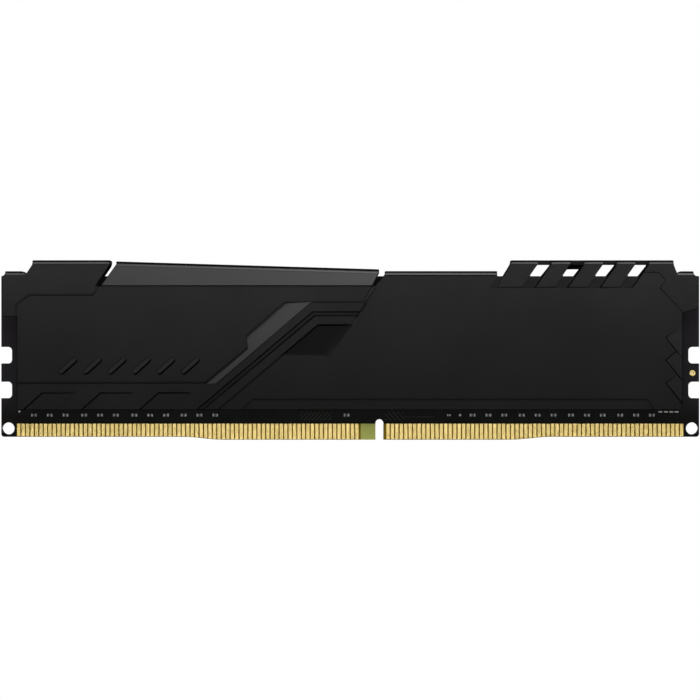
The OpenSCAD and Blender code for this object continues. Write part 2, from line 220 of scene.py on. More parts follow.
class Field:
    """A pressed area with a level, and painted light and shade of its own.

    Each corner is (x, s), or (x, s, ramp, value) where the side that starts there has a ramp of that width
    inside it, with that painted shade or painted highlight along the ramp. The painted value multiplies the
    finish's colour: 1 is the plain colour, below 1 is painted shade and above 1 is painted light.
    """

    def __init__(self, level, corners, tone):
        corners = [c if len(c) == 4 else (*c, THIN, 1) for c in corners]
        points = [c[:2] for c in corners]
        ramps = [c[2] for c in corners]
        painted_shadings = [c[3] for c in corners]
        if area2(points) < 0:
            # the side between two points keeps its own values in the reversed order
            points = points[::-1]
            ramps = ramps[:-1][::-1] + [ramps[-1]]
            painted_shadings = painted_shadings[:-1][::-1] + [painted_shadings[-1]]
        self.tone = tone
        self.ramps, self.painted_shadings = ramps, painted_shadings
        self.level = level if callable(level) else (lambda x, z: level)
        self.rings = [points] + [inset(points, [w * share for w in ramps]) for share in RAMP]
        xs, ys = zip(*points)
        self.box = (min(xs), max(xs), min(ys), max(ys))

    def share(self, p):
        """How far a point is up the ramp, from 0 to 1, and the painted shade or highlight of the ramp there.
        """
        slack = 1e-4
        x0, x1, y0, y1 = self.box
        if not (x0 - slack < p[0] < x1 + slack and y0 - slack < p[1] < y1 + slack):
            return 0, 1
        outer, inner = self.rings[0], self.rings[-1]
        if inside(p, inner):
            return 1, 1
        if not inside(p, outer):
            return 0, 1
        nearest = None
        for i, ((a, b), (d, c)) in enumerate(zip(sides(outer), sides(inner))):
            length = math.hypot(b[0] - a[0], b[1] - a[1])
            depth = ((p[1] - a[1]) * (b[0] - a[0]) - (p[0] - a[0]) * (b[1] - a[1])) / length
            quad = [a, b, c, d]
            off = 0 if inside(p, quad) else min(edge_distance(p, *side) for side in sides(quad))
            if nearest is None or off < nearest[0]:
                nearest = (off, depth / self.ramps[i], self.painted_shadings[i])
        u = max(0, min(1, nearest[1]))
        return smooth(u), 1 - (1 - nearest[2]) * min(1, PAINTED_SHADING_REACH * u * (1 - u))

    def segments(self):
        out = [side for ring in self.rings for side in sides(ring)]
        for a, b in zip(self.rings, self.rings[1:]):
            out += list(zip(a, b))
        return out


def plane(p, level, direction, slope):
    """A level at point p that grows by slope per millimetre along direction."""
    n = math.hypot(*direction)
    dx, dz = direction[0] / n, direction[1] / n
    return lambda x, z: level + slope * ((x - p[0]) * dx + (z - p[1]) * dz)


FIELDS = []


def field(level, corners, tone=1):
    FIELDS.append(Field(level, corners, tone))


def line(a, b, width, tone):
    """A shallow pressed line from a to b that follows the relief below it, with painted shade along it."""
    below = len(FIELDS)
    dx, dz = b[0] - a[0], b[1] - a[1]
    length = math.hypot(dx, dz)
    hx, hz = dz / length * width / 2, -dx / length * width / 2
    ramp = width * LINE_RAMP
    corners = [(a[0] + hx, a[1] + hz, ramp, 1), (b[0] + hx, b[1] + hz),
               (b[0] - hx, b[1] - hz, ramp, 1), (a[0] - hx, a[1] - hz)]
    field(lambda x, z: relief((x, z), below)[0] - LINE_DEPTH, corners, tone)


def relief(p, count=None):
    """Level of the outer face at a point of the blank, and the painted light and shade there."""
    level, tone = MAIN, 1
    for f in FIELDS[:count]:
        k, ramp_painted_shading = f.share(p)
        if k > 0:
            level = level * (1 - k) + k * f.level(*p)
            tone = (tone * (1 - k) + k * f.tone) * ramp_painted_shading
    return level, tone


def press_wing():
    # painted shade along the ramps of the wing's lower sides
    field(WING, [
        (-67, 22.6, 0.5, 1), (-63.4, 22.6, 0.5, 0.7), (-63.4, 25.6, 0.5, 0.6), (-61.1, 27.35, 0.5, 0.55),
        (-48.9, 27.35, 0.4, 0.5), (-47.6, FOLD_Z), (-48.0, FOLD_Z), (-45.15, 33.4), (-45.15, 41), (-67, 41),
    ])


def press_bands():
    """The low strip along the lower left edge, and two more bands beside the slanted facet, with painted
    shade along their steps and over the middle band.
    """
    field(BAND_A, [
        (-64.5, 4.5), (-10, 4.5), (3.6, 24), (3.6, 26.4, 0.32, 0.5), (-9.9, 26.4, 0.1, 1),
        (-19.05, 17.03, 0.1, 1), (-25.85, 11.2, 0.6, 0.5), (-64.5, 11.15),
    ])
    field(BAND_B, [
        (2.2, 24.55, 0.32, 0.05), (-7.2, 24.55, 0.32, 0.05), (-29.3, 5.9, 0.32, 0.08), (-30.9, 4.5),
        (-10, 4.5), (2.2, 20),
    ], 0.75)
    field(BAND_C, [
        (2.2, 23.85, 0.34, 0.12), (-6.82, 23.85, 0.38, 0.1), (-28.1, 5.9, 0.3, 0.2), (-29.7, 4.5),
        (-10, 4.5), (2.2, 20),
    ])


def press_right_field():
    # painted shade along most ramps here and along the lines below, and painted highlights on three ramps
    field(RIGHT, [
        (67.5, 4.5), (67.5, 41), (6.06, 41), (6.06, 31.9), (4.43, FOLD_Z), (4.21, FOLD_Z, 0.62, 2.4),
        (2.36, 26.42, 0.1, 0.6), (2.92, 26.1, 0.25, 0.6), (1.77, 24.47, 0.45, 2), (0.99, 23.35, 0.45, 2),
        (0.2, 22.0, 0.25, 0.5), (-6.2, 22.1, 0.42, 0.12), (-25.3, 5.9, 0.42, 0.12), (-26.9, 4.5),
    ])
    line((4.21, FOLD_Z), (2.36, 26.42), 0.26, 0.08)
    line((4.74, 29.0), (2.89, 26.1), 0.26, 0.08)
    line((1.77, 24.47), (0.3, 22.1), 0.22, 0.12)
    line((2.92, 26.1), (1.2, 23.3), 0.24, 0.1)


def press_facet():
    """The slanted facet, tilted toward the lower right, brightened by painted light, with painted shade in
    dark lines along its left side.
    """
    field(plane((-7.5, 26.09), MAIN, (0.649, -0.761), 0.1), [
        (-12.3, 26.35, 0.07, 0.5), (-19.85, 19.75, 0.07, 0.3), (-19.47, 17.5, 0.2, 0.25),
        (-27.6, 10.7, 0.07, 0.8), (-25.55, 10.7, 0.08, 1.4), (-7.25, 26.35, 0.2, 0.6),
    ], 3.15)
    line((-12.42, 26.48), (-19.97, 19.88), 0.3, 0.25)
    line((-19.98, 19.73), (-19.6, 17.48), 0.24, 0.3)
    line((-19.58, 17.64), (-27.71, 10.84), 0.36, 0.08)


def press_deep_field():
    # the deep field is darkened by painted shade, with painted shade along its ramps
    field(DEEP, [
        (-6.2, 22.1, 0.35, 0.8), (-13.3, 16.1, 0.3, 0.7), (-12.9, 15.65, 0.8, 0.5),
        (-4.0, 15.65, 1.3, 0.4), (0.55, 21.9, 0.3, 0.1), (0.2, 22.1, 0.35, 0.2),
    ], 0.14)
    # painted shade over the bright inner side of the right ramp
    line((0.39, 22.02), (-4.16, 15.77), 0.5, 0.5)


def press_lower_edge():
    # painted shade along its ramps
    field(LOWER, [
        (-21.5, 5.2), (58.6, 5.2, 0.4, 0.8), (56.72, 7.95, 0.45, 0.6), (-18.65, 7.95, 0.4, 0.6),
    ])


def press_comb():
    """Comb and right wing, one small step up, with the shallow ends of the slots. The comb's ramps, the
    shallow slot ends and the lines along the slots' lower and right sides carry painted shade.
    """
    low, high = 28.95, 31.35
    field(COMB, [
        (27.5, low, 0.25, 0.7), (53.68, low, 0.2, 0.6), (55.8, 31.86, 0.2, 1), (58.63, 31.86, 0.25, 0.9),
        (59.75, 30.66, 0.45, 0), (58.66, 29.06, 0.35, 1), (63.31, 24.2, 0.3, 1), (67.5, 22.9), (67.5, 41),
        (29.3, 41), (28.4, 31.1),
    ])
    for k in range(len(SLOT_X)):
        field(RIGHT, [
            (slot_x(k, low), low, 0.16, 0.2), (slot_x(k, low) + SLOT_W, low, 0.2, 0.03),
            (slot_x(k, high) + SLOT_W, high), (slot_x(k, high), high, 0.3, 0.8),
        ], 0.52)
        line((slot_x(k, 31.2) - 0.05, 31.12), (slot_x(k, 31.2) + SLOT_W, 31.12), 0.22, 0.05)
        right = SLOT_W + 0.06
        line((slot_x(k, 29) + right, 29.0), (slot_x(k, 33.2) + right, 33.2), 0.34, 0.03)
    field(RIGHT, [
        (26.6, low, 0.16, 0.3), (28.15, low, 0.2, 0.03), (29.1, 31.2), (28.0, 31.2, 0.3, 0.8),
    ], 0.6)


def bar_level(x, z):
    return BAR_LOW + (BAR_HIGH - BAR_LOW) * (z - FOLD_END) / (bar_s0(x) - FOLD_END)


def press_bar():
    # the bar is brightened by painted light, with painted shade along its lower ramp
    field(bar_level, [
        (-47.98, FOLD_Z, 0.15, 0.7), (4.43, FOLD_Z), (6.0, 31.9), (6.06, 41), (-45.15, 41), (-45.15, 33.4),
    ], 1.58)


def press_middle_lip():
    # painted shade along the lip's lower ramp
    field(LIP, [(6.3, 31.25, 0.2, 0.3), (28.3, 31.25), (28.3, 36), (6.3, 36)])


def press_pockets():
    """Three pockets, deepest at their upper left sides, lightly darkened by painted shade, with painted
    shade along their ramps.
    """
    pitch = 11.05
    for k in range(3):
        x = pitch * k
        field(plane((-54.2 + x, 7.2), BAND_A - 0.07, (0.653, -0.758), 0.02), [
            (-58.69 + x, 9.14, 0.34, 0.05), (-62.95 + x, 5.3), (-56.5 + x, 5.3, 0.45, 0.3),
            (-52.0 + x, 9.14, 0.34, 0.05),
        ], 0.9)


def press_capsules():
    """Six capsules, pressed like louvres: flush above and proud below, brightened by painted light, with
    painted shade round them that is darkest on the lower side.
    """
    first, pitch, cz = -53.71, 4.657, 14.09
    lean, half, radius = math.radians(42), 1.65, 0.68
    points_per_end = 8
    step = math.pi / (points_per_end - 1)
    for k in range(6):
        cx = first + pitch * k
        corners = []
        for end in (-1, 1):
            for j in range(points_per_end):
                turn = lean + math.pi / 2 + step * j + (math.pi if end > 0 else 0)
                # the side that starts here faces half a step further on, apart from the long ones
                facing = turn + step / 2 if j < points_per_end - 1 else turn
                down = max(0, math.cos(facing - (lean - math.pi / 2)))
                corners.append((cx + end * half * math.cos(lean) + radius * math.cos(turn),
                                cz + end * half * math.sin(lean) + radius * math.sin(turn),
                                0.3 + 0.2 * down, 0.2 - 0.2 * down))
        field(plane((cx, cz), MAIN + 0.05, (math.sin(lean), -math.cos(lean)), 0.09), corners, 1.35)


def press_right_facets():
    # three facets brightened by painted light, with painted shade along their two slanted sides
    for z, top_x, top_z in ((19.5, 62.2, 21.22), (15.25, 62.0, 17.0), (10.9, 61.95, 12.4)):
        field(plane((59.9, z), RIGHT + 0.01, (0.6, -0.8), 0.04), [
            (59.9, z, 0.3, 0), (63.9, z - 4.98), (63.9, top_z - 1.5, 0.1, 1), (top_x, top_z, 0.3, 0),
        ], 1.22)


press_wing()
press_bands()
press_right_field()
press_facet()
press_deep_field()
press_lower_edge()
press_comb()
press_bar()
press_middle_lip()
press_pockets()
press_capsules()
press_right_facets()


class Edge:
    """One of the upper edges: where its bend starts, its lean, and how strong the painted highlight on the
    bend is.

    The pairs hold a distance past the start of the bend and the painted light or shade there: a painted
    highlight on the bend, with painted shade in a line below it and over its top.
    """

    def __init__(self, x0, x1, s0, lean, painted_highlight):
        self.x0, self.x1, self.s0, self.lean = x0, x1, s0, lean
        self.arc = BEND_R * (math.pi / 2 - lean)
        self.crown = 0.07 if lean else 0.345
        if lean:
            self.painted_shadings = [(-0.5, 1.2), (-0.42, 0.8), (-0.31, 0.8), (-0.24, 1.5 * painted_highlight), (-0.1, 1.3 * painted_highlight),
                          (0.04, 0.9 * painted_highlight), (0.1, 0.12), (self.arc, 0.12), (self.arc + 0.1, 0.8)]
        else:
            self.painted_shadings = [(-0.26, 1), (-0.2, 0.5), (-0.04, 0.5), (0.0, 2.2 * painted_highlight), (0.14, 1.7 * painted_highlight),
                          (0.2, 0.8 * painted_highlight), (0.32, 0.8 * painted_highlight), (0.37, 0.12), (self.arc, 0.12),
                          (self.arc + 0.1, 0.8)]

    def tone(self, x, v, below):
        """Painted light or shade at a distance v past the start of the bend, where the face under the bend
        has the value below.
        """
        points = self.painted_shadings
        if self.lean:
            # the painted highlight on the bar's upper line gets stronger toward its right end
            painted_highlight_gain = 1 + 0.3 * (x + 45) / 50
            points = [(a, t * painted_highlight_gain if t > 1.25 else t) for a, t in points]
        if v <= points[0][0]:
            return below
        points = [(points[0][0], below)] + points[1:]
        for (a, ta), (b, tb) in zip(points, points[1:]):
            if v <= b:
                return ta + (tb - ta) * (v - a) / (b - a)
        return points[-1][1]


# the last number sets how strong the painted highlight on each bend is
TAB_LEFT = Edge(-66.5, -61.7, lambda x: TAB_S0, 0, 1.7)
WING_EDGE = Edge(-60.9, -45.4, lambda x: HIGH_S0, 0, 1.8)
BAR_EDGE = Edge(-45.0, 5.8, bar_s0, BAR_LEAN, 2.2)
MIDDLE = Edge(6.3, 28.3, lambda x: MID_S0, 0, 3.6)
COMB_EDGE = Edge(30.0, 61.9, lambda x: HIGH_S0, 0, 2.3)
TAB_RIGHT = Edge(62.25, 66.5, lambda x: TAB_S0, 0, 4.0)
EDGES = [TAB_LEFT, WING_EDGE, BAR_EDGE, MIDDLE, COMB_EDGE, TAB_RIGHT]


def edge_at(x, s):
    """The upper edge that a point of the blank belongs to, and its share of the bend."""
    if x < -61.65:
        return TAB_LEFT, max(0, min(1, (TAB_LEFT.x1 - x) / 0.5))
    if x < -47.98 + 0.7 * (min(s, 33.4) - FOLD_Z):
        return WING_EDGE, 1
    if x < min(4.43 + 0.634 * (s - FOLD_Z), 6.06):
        return BAR_EDGE, 1
    if x < 28.6:
        return MIDDLE, 1
    if x < TAB_RIGHT.x0:
        return COMB_EDGE, 1
    return TAB_RIGHT, min(1, (x - TAB_RIGHT.x0) / 0.3)


def place(x, s):
    """(t, z) on the outer face, the outward direction there, and the painted light and shade there."""
    edge, share = edge_at(x, s)
    s0, lean = edge.s0(x), edge.lean
    level, tone = relief((x, min(s, s0 - 1e-4) if s > 29 else s))
    # near the top, the painted highlight and painted shade of the bend take over
    if s > 29.5 or (s > 29 and not lean):
        tone = tone * (1 - share) + share * edge.tone(x, s - s0, tone)
    if s <= s0 or s < 31:
        direction = (math.cos(lean), math.sin(lean)) if lean and s > 29.45 else (1, 0)
        return (level, s), direction, tone
    tc, zc = level - BEND_R * math.cos(lean), s0 - BEND_R * math.sin(lean)
    v = s - s0
    angle = min(math.pi / 2, lean + v / BEND_R)
    n = (math.cos(angle), math.sin(angle))
    t, z = tc + BEND_R * n[0], zc + BEND_R * n[1]
    if v > edge.arc:
        t = tc - (v - edge.arc)
    if share < 1:
        t, z = level * (1 - share) + t * share, s * (1 - share) + z * share
    return (t, z), n, tone


def on_crown(x, s):
    """Whether a point lies on the top part of a bend, above the painted highlight, where painted shade makes
    it dark.
    """
    edge, _ = edge_at(x, s)
    return edge.crown < s - edge.s0(x) < edge.arc + 0.02


def blank_segments():
    """Every line that the blank's triangles have to follow."""
    segments = []
    for loop, inward in [(OUTLINE, 1)] + [(hole, -1) for hole in HOLES]:
        segments += sides(loop)
        for share in RIM_RINGS:
            segments += sides(inset(loop, [inward * EDGE_IN * share] * len(loop)))
    for f in FIELDS:
        segments += f.segments()
    for edge in EDGES:
        stops = [edge.arc * k / ARC_STEPS for k in range(ARC_STEPS + 1)] + [v for v, _ in edge.painted_shadings]
        for v in stops:
            segments.append(((edge.x0, edge.s0(edge.x0) + v), (edge.x1, edge.s0(edge.x1) + v)))
    for x in range(-47, 5, 2):
        segments.append(((x, FOLD_Z), (x, 37)))
    for x in (-62.2, TAB_LEFT.x1, TAB_RIGHT.x0, 62.55):
        segments.append(((x, TAB_S0), (x, 32.4)))
    return [(a, b) for a, b in segments if math.hypot(a[0] - b[0], a[1] - b[1]) >= 1e-6]


def blank_mesh():
    """Points and triangles of the blank, with every ramp and bend line along an edge."""
    segments = blank_segments()
    verts = [Vector(p) for segment in segments for p in segment]
    edges = [(2 * i, 2 * i + 1) for i in range(len(segments))]
    co, _, faces, _, _, _ = geometry.delaunay_2d_cdt(verts, edges, [], 0, 1e-4)
    co = [(v.x, v.y) for v in co]
    kept = []
    for face in faces:
        c = centre(co, face)
        if inside(c, OUTLINE) and not any(inside(c, hole) for hole in HOLES):
            kept.append(face)
    return co, kept


def centre(co, face):
    return tuple(sum(co[i][k] for i in face) / len(face) for k in (0, 1))


BLANK = blank_mesh()


def add_mesh_object(name, bm, sharp_angle):
    mesh = bpy.data.meshes.new(name)
    bm.to_mesh(mesh)
    bm.free()
    for p in mesh.polygons:
        p.use_smooth = True
    mesh.set_sharp_from_angle(angle=sharp_angle)
    obj = bpy.data.objects.new(name, mesh)
    bpy.context.scene.collection.objects.link(obj)
    return obj


def build_sheet(name, side):
    """Bend the blank into a sheet on the front (side 1) or the rear (side -1) of the board."""
    co, faces = BLANK
    bm = bmesh.new()
    tone = bm.verts.layers.float.new("tone")
    outer, inner = {}, {}
    for i in sorted({i for f in faces for i in f}):
        x, s = co[i]
        (t, z), n, shade = place(x, s)
        near = rim_distance((x, s))
        k = max(0, 1 - near / EDGE_IN)
        drop = EDGE_DROP * (1 - math.sqrt(max(0, 1 - k * k)))
        edge, _ = edge_at(x, s)
        thick = SHEET + FLANGE_EXTRA * smooth((s - edge.s0(x)) / edge.arc)
        it, iz = t - n[0] * thick, z - n[1] * thick
        t, z = t - n[0] * drop, z - n[1] * drop
        outer[i] = bm.verts.new((x * MM, -side * t * MM, z * MM))
        inner[i] = bm.verts.new((x * MM, -side * it * MM, iz * MM))
        # painted shade along the cut edges, and over the whole inner skin
        outer[i][tone] = shade * (1 if near >= EDGE_IN - 1e-3 else RIM_PAINTED_SHADE + RIM_PAINTED_SHADE_GAIN * near / EDGE_IN)
        inner[i][tone] = INNER_PAINTED_SHADE
    for f in faces:
        a = [outer[i] for i in f]
        b = [inner[i] for i in reversed(f)]
        if side < 0:
            a.reverse()
            b.reverse()
        face = bm.faces.new(a)
        bm.faces.new(b)
        c = centre(co, f)
        # the top of each bend, the cut edges and faces with deep painted shade get the low-specular copy of
        # the paint, as painted shade
        if on_crown(*c) or rim_distance(c) < EDGE_IN or sum(outer[i][tone] for i in f) < DARK_PAINTED_SHADE * len(f):
            face.material_index = 1
    close_cut_edges(bm, outer, inner)
    merge_flat_areas(bm, tone)
    obj = add_mesh_object(name, bm, SHARP_ANGLE)
    normals = obj.modifiers.new("normals", "WEIGHTED_NORMAL")
    normals.keep_sharp = True
    normals.weight = 80
    return obj


def close_cut_edges(bm, outer, inner):
    """Join the outer and the inner skin along every cut edge."""
    index = {v: k for k, v in outer.items()}
    open_loops = [e.link_loops[0] for e in bm.edges if len(e.link_faces) == 1 and e.verts[0] in index]
    for loop in open_loops:
        a, b = loop.vert, loop.link_loop_next.vert
        bm.faces.new([b, a, inner[index[a]], inner[index[b]]])


def merge_flat_areas(bm, tone):
    """Dissolve flat triangles, but keep the points where the painted light and shade changes."""
    even = {v for v in bm.verts
            if all(abs(w[tone] - v[tone]) < EVEN_PAINTED_SHADING for f in v.link_faces for w in f.verts)}
    edges = [e for e in bm.edges if e.verts[0] in even and e.verts[1] in even]
    bmesh.ops.dissolve_limit(bm, angle_limit=MERGE_ANGLE, verts=list(even), edges=edges,
                             delimit={"MATERIAL"}, use_dissolve_boundaries=False)


def lock_tab():
    """Tongue of the rear sheet's flange, bent down behind the second slot."""
    section = [(0.55, 33.95), (0.62, 33.3), (0.75, 32.95), (0.75, 32.72), (0.82, 32.62), (1.0, 32.57),
               (1.2, 32.6), (1.4, 32.72), (1.5, 32.95), (1.5, 33.4), (1.6, 34.0)]
    x0, x1, bevel, round_off = 40.2, 44.58, 0.08, 0.06
    bm = bmesh.new()
    rows = []
    for x, inset_by in ((x0, round_off), (x0 + bevel, 0), (x1 - bevel, 0), (x1, round_off)):
        row = []
        for k, (y, z) in enumerate(section):
            y += inset_by if k < 5 else -inset_by
            z += inset_by if k in (4, 5, 6) else 0
            row.append(bm.verts.new((x * MM, y * MM, z * MM)))
        rows.append(row)
    for a, b in zip(rows, rows[1:]):
        for (a0, a1), (b0, b1) in zip(sides(a), sides(b)):
            bm.faces.new([a0, b0, b1, a1])
    bm.faces.new(rows[0])
    bm.faces.new(list(reversed(rows[-1])))
    bmesh.ops.recalc_face_normals(bm, faces=bm.faces)
    tone = bm.verts.layers.float.new("tone")
    for v in bm.verts:
        v[tone] = 1
    return add_mesh_object("lock_tab", bm, math.radians(40))


front = build_sheet("spreader_sheet_front", 1)
rear = build_sheet("spreader_sheet_rear", -1)
tab = lock_tab()

# ---- materials -------------------------------------------------------------------------------------


class Mat:
    """A procedural material on one Principled shader, in object coordinates measured in millimetres."""

    def __init__(self, name, colour, rough, metallic=0.0, specular=0.5):
        self.mat = bpy.data.materials.new(name)
        self.mat.use_nodes = True
        self.nodes, self.links = self.mat.node_tree.nodes, self.mat.node_tree.links
        self.shader = self.nodes["Principled BSDF"]
        self.shader.inputs["Base Color"].default_value = (*colour, 1)
        self.shader.inputs["Roughness"].default_value = rough
        self.shader.inputs["Metallic"].default_value = metallic
        self.shader.inputs["Specular IOR Level"].default_value = specular
        coords = self.nodes.new("ShaderNodeTexCoord")
        scale = self.nodes.new("ShaderNodeVectorMath")
        scale.operation = "SCALE"
        scale.inputs["Scale"].default_value = 1 / MM
        self.links.new(coords.outputs["Object"], scale.inputs[0])
        self.mm = scale.outputs[0]
        split = self.nodes.new("ShaderNodeSeparateXYZ")
        self.links.new(self.mm, split.inputs[0])
        self.x, self.y, self.z = split.outputs

    def feed(self, value, socket):
        """Set a socket to a number or a colour, or link another node's output to it."""
        if isinstance(value, (int, float)):
            socket.default_value = value
        elif isinstance(value, tuple):
            socket.default_value = (*value, 1)
        else:
            self.links.new(value, socket)

    def calc(self, operation, a, b=0.0):
        n = self.nodes.new("ShaderNodeMath")
        n.operation = operation
        self.feed(a, n.inputs[0])
        self.feed(b, n.inputs[1])
        return n.outputs[0]

    def times(self, a, b):
        return self.calc("MULTIPLY", a, b)

    def noise(self, scale, detail=2.0, rough=0.5, stretch=None):
        n = self.nodes.new("ShaderNodeTexNoise")
        n.inputs["Scale"].default_value = scale
        n.inputs["Detail"].default_value = detail
        n.inputs["Roughness"].default_value = rough
        source = self.mm
        if stretch:
            m = self.nodes.new("ShaderNodeVectorMath")
            m.operation = "MULTIPLY"
            m.inputs[1].default_value = stretch
            self.links.new(self.mm, m.inputs[0])
            source = m.outputs[0]
        self.links.new(source, n.inputs["Vector"])
        return n.outputs[0]

    def span(self, value, lo, hi, to_lo, to_hi):
        """Map lo..hi to to_lo..to_hi, clamped."""
        n = self.nodes.new("ShaderNodeMapRange")
        n.clamp = True
        self.links.new(value, n.inputs["Value"])
        for key, v in (("From Min", lo), ("From Max", hi), ("To Min", to_lo), ("To Max", to_hi)):
            n.inputs[key].default_value = v
        return n.outputs[0]

    def between(self, value, lo, hi, soft=0.03):
        """1 where value is between lo and hi."""
        return self.times(self.span(value, lo - soft, lo + soft, 0, 1),
                          self.span(value, hi - soft, hi + soft, 1, 0))

    def window(self, x0, x1, z0, z1):
        """1 inside a rectangle of x and z."""
        return self.times(self.between(self.x, x0, x1), self.between(self.z, z0, z1))

    def mix(self, factor, a, b, mode="MIX"):
        n = self.nodes.new("ShaderNodeMix")
        n.data_type = "RGBA"
        n.blend_type = mode
        self.feed(factor, n.inputs[0])
        self.feed(a, n.inputs[6])
        self.feed(b, n.inputs[7])
        return n.outputs[2]

    def mottle(self, noise, dark, light):
        """Two close colours, blended by a noise."""
        return self.mix(self.span(noise, 0.3, 0.7, 0, 1), dark, light)

    def shade(self, colour, value):
        """A colour multiplied by a grey value."""
        grey = self.nodes.new("ShaderNodeCombineColor")
        for i in range(3):
            self.links.new(value, grey.inputs[i])
        return self.mix(1.0, colour, grey.outputs[0], "MULTIPLY")

    def attribute(self, name):
        n = self.nodes.new("ShaderNodeAttribute")
        n.attribute_name = name
        return n.outputs["Fac"]

    def colour(self, source):
        self.links.new(source, self.shader.inputs["Base Color"])

    def rough(self, source):
        self.links.new(source, self.shader.inputs["Roughness"])

    def bump(self, source, distance):
        n = self.nodes.new("ShaderNodeBump")
        n.inputs["Distance"].default_value = distance * MM
        self.links.new(source, n.inputs["Height"])
        self.links.new(n.outputs[0], self.shader.inputs["Normal"])


def spreader_paint(name, specular):
    """Fine-grained black coating with painted shade that darkens it toward the bottom, times the painted
    light and shade of the pressed relief.
    """
    m = Mat(name, (0.02, 0.02, 0.0205), 0.46, specular=specular)
    broad = m.noise(0.06, 3)
    grain = m.noise(6, 2, 0.6)
    base = m.mottle(broad, (0.0205, 0.0205, 0.0212), (0.0235, 0.0235, 0.024))
    base = m.mix(m.span(grain, 0.35, 0.75, 0, 0.35), base, (0.034, 0.034, 0.035))
    # painted shade: darker toward the bottom
    base = m.shade(base, m.span(m.z, 5, 26, 0.76, 1))
    # times the painted light and shade carried by the sheet
    m.colour(m.shade(base, m.attribute("tone")))
    m.rough(m.calc("ADD", m.span(broad, 0.3, 0.7, 0.44, 0.5), m.span(grain, 0.3, 0.7, -0.03, 0.03)))
    m.bump(m.noise(9, 2, 0.6), 0.006)
    return m.mat


DASHES = [(x, 5.32, 0.35, 0.13) for x in (59.27, 60.32, 61.37, 62.36)]
DOTS = [(-63.2, 5.4, 0.16, 0.16), (21.0, 4.7, 0.2, 0.2)]


def silkscreen(m):
    """Where the plain printed marks are on the front's open strip."""
    marks = 0
    for x, z, half_x, half_z in DASHES + DOTS:
        marks = m.calc("MAXIMUM", marks, m.window(x - half_x, x + half_x, z - half_z, z + half_z))
    front_only = m.span(m.y, -0.5, -0.4, 1, 0)
    return m.times(marks, front_only)


def copper_traces(m):
    """Where slanted traces and one long run show faintly under the mask, beside the key notch."""
    slope = m.times(m.z, 0.9)
    left_wave = m.calc("FRACT", m.calc("DIVIDE", m.calc("SUBTRACT", m.x, slope), 0.78))
    right_wave = m.calc("FRACT", m.calc("DIVIDE", m.calc("ADD", m.x, slope), 0.9))
    left = m.times(m.window(-9.6, -3.6, 3.7, 5.3), m.between(left_wave, 0.2, 0.55, 0.08))
    right = m.times(m.window(6.6, 10.2, 3.7, 5.3), m.between(right_wave, 0.2, 0.5, 0.08))
    run = m.window(10.2, 16.0, 4.28, 4.42)
    return m.calc("MAXIMUM", left, m.calc("MAXIMUM", right, run))


def board():
    """Black solder mask, purplish at the open ends, and the bare laminate between the contacts."""
    m = Mat("board_black_mask", (0.008, 0.007, 0.008), 0.45, specular=0.1)
    broad = m.noise(0.15, 2)
    strip = m.mottle(broad, (0.0041, 0.0037, 0.0031), (0.0064, 0.0056, 0.0048))
    ends = m.mottle(broad, (0.0162, 0.0137, 0.0171), (0.0201, 0.0175, 0.0212))
    outside = m.span(m.calc("ABSOLUTE", m.x), 60.5, 62, 0, 1)
    mask = m.mix(m.times(outside, m.span(m.z, 4.5, 8, 0, 1)), strip, ends)
    mask = m.mix(silkscreen(m), mask, (0.62, 0.62, 0.6))
    mask = m.mix(m.times(copper_traces(m), 0.7), mask, (0.034, 0.038, 0.03))
    fibre = m.noise(1.2, 3, 0.5, (1, 1, 6))
    bare = m.mottle(fibre, (0.262, 0.17, 0.0087), (0.305, 0.2, 0.0113))
    olive = m.mottle(fibre, (0.555, 0.592, 0.138), (0.632, 0.676, 0.178))
    laminate = m.mix(m.between(m.x, 2.0, 4.9, 0.02), bare, olive)
    contact_zone = m.times(m.span(m.z, 3.02, 3.1, 1, 0), m.between(m.x, -63.75, 63.72, 0.02))
    m.colour(m.mix(contact_zone, mask, laminate))
    m.rough(m.span(broad, 0.3, 0.7, 0.4, 0.48))
    m.bump(m.noise(3, 2, 0.5), 0.004)
    return m.mat


def gold():
    m = Mat("gold_plating", (0.8, 0.62, 0.23), 0.32, metallic=0.85)
    m.colour(m.mottle(m.noise(2.2, 2, 0.5, (1, 1, 0.25)), (0.65, 0.49, 0.17), (0.73, 0.565, 0.22)))
    m.rough(m.span(m.noise(1.5, 2), 0.3, 0.7, 0.28, 0.36))
    m.bump(m.noise(14, 2, 0.5, (1, 1, 0.15)), 0.003)
    return m.mat


def mottled(name, dark, light, rough, scale, depth, metallic=0.0):
    """A finish with two close colours, uneven gloss and a fine grain of the given scale and depth."""
    m = Mat(name, light, rough, metallic)
    grain = m.noise(scale, 3, 0.6)
    m.colour(m.mottle(grain, dark, light))
    m.rough(m.span(m.noise(scale * 0.4, 2), 0.3, 0.7, rough - 0.05, rough + 0.05))
    m.bump(grain, depth)
    return m.mat


CHIP_BLACK = ((0.012, 0.012, 0.013), (0.022, 0.022, 0.023))
FILM_BLACK = ((0.008, 0.008, 0.009), (0.016, 0.016, 0.017))
CERAMIC_TAN = ((0.22, 0.13, 0.06), (0.3, 0.19, 0.1))
SILICONE_GREY = ((0.17, 0.18, 0.2), (0.24, 0.25, 0.27))
PAINT = spreader_paint("black_coated_aluminium", 0.5)
# a copy of the paint with almost no specular, for faces shown dark by painted shade
SHADED_PAINT = spreader_paint("black_coated_aluminium_painted_shade", 0.03)
TIN = mottled("tin_plating", (0.2, 0.2, 0.21), (0.29, 0.29, 0.3), 0.38, 9, 0.004, 0.85)
